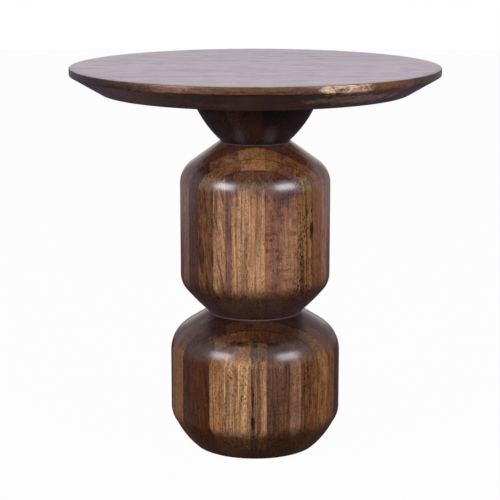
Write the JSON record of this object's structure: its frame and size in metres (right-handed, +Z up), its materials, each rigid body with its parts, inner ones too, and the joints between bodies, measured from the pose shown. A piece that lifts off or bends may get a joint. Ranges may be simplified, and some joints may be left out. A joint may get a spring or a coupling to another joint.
{
  "type": "pedestal side table",
  "caption": "Round wooden side table: a top with a bevelled underside on a turned pedestal of a flared neck over two stacked, round-shouldered drums glued up from upright boards.",
  "frame": {"origin": "on the floor under the centre of the table, at the middle of the bottom of its box", "axes": "+Z up the pedestal's axis, -Y towards the viewer, +X to the viewer's right along the boards of the top"},
  "size_m": [0.508, 0.508, 0.5369],
  "materials": {
    "top_wood": "dark stained hardwood under a satin clear coat",
    "neck_wood": "very dark stained hardwood under a satin clear coat",
    "upper_drum_wood": "stained hardwood boards of mixed tone under a satin clear coat",
    "lower_drum_wood": "stained hardwood boards of mixed tone under a satin clear coat",
    "dowel_beech": "plain beech",
    "plated_steel": "zinc-plated steel",
    "felt": "dark felt"
  },
  "bodies": {
    "root": {"felt_pad_1": "felt", "felt_pad_2": "felt", "felt_pad_3": "felt", "felt_pad_4": "felt", "foot_nut": "plated_steel", "foot_washer": "plated_steel", "lower_drum_board_1": "lower_drum_wood", "lower_drum_board_2": "lower_drum_wood", "lower_drum_board_3": "lower_drum_wood", "lower_drum_board_4": "lower_drum_wood", "lower_drum_board_5": "lower_drum_wood", "lower_drum_board_6": "lower_drum_wood", "lower_drum_board_7": "lower_drum_wood", "lower_drum_board_8": "lower_drum_wood", "lower_drum_board_9": "lower_drum_wood", "lower_drum_board_10": "lower_drum_wood", "lower_drum_board_11": "lower_drum_wood", "lower_drum_board_12": "lower_drum_wood", "lower_drum_board_13": "lower_drum_wood", "neck_board_1": "neck_wood", "neck_board_2": "neck_wood", "neck_board_3": "neck_wood", "neck_board_4": "neck_wood", "neck_board_5": "neck_wood", "neck_board_6": "neck_wood", "neck_board_7": "neck_wood", "neck_board_8": "neck_wood", "neck_dowel_1": "dowel_beech", "neck_dowel_2": "dowel_beech", "plate_nut": "plated_steel", "plate_screw_1": "plated_steel", "plate_screw_2": "plated_steel", "plate_screw_3": "plated_steel", "plate_screw_4": "plated_steel", "tie_rod": "plated_steel", "top_board_1": "top_wood", "top_board_2": "top_wood", "top_board_3": "top_wood", "top_board_4": "top_wood", "top_board_5": "top_wood", "top_plate": "plated_steel", "upper_drum_board_1": "upper_drum_wood", "upper_drum_board_2": "upper_drum_wood", "upper_drum_board_3": "upper_drum_wood", "upper_drum_board_4": "upper_drum_wood", "upper_drum_board_5": "upper_drum_wood", "upper_drum_board_6": "upper_drum_wood", "upper_drum_board_7": "upper_drum_wood", "upper_drum_board_8": "upper_drum_wood", "upper_drum_board_9": "upper_drum_wood", "upper_drum_board_10": "upper_drum_wood", "upper_drum_board_11": "upper_drum_wood", "upper_drum_board_12": "upper_drum_wood", "waist_dowel_1": "dowel_beech", "waist_dowel_2": "dowel_beech"}
  },
  "joints": []
}
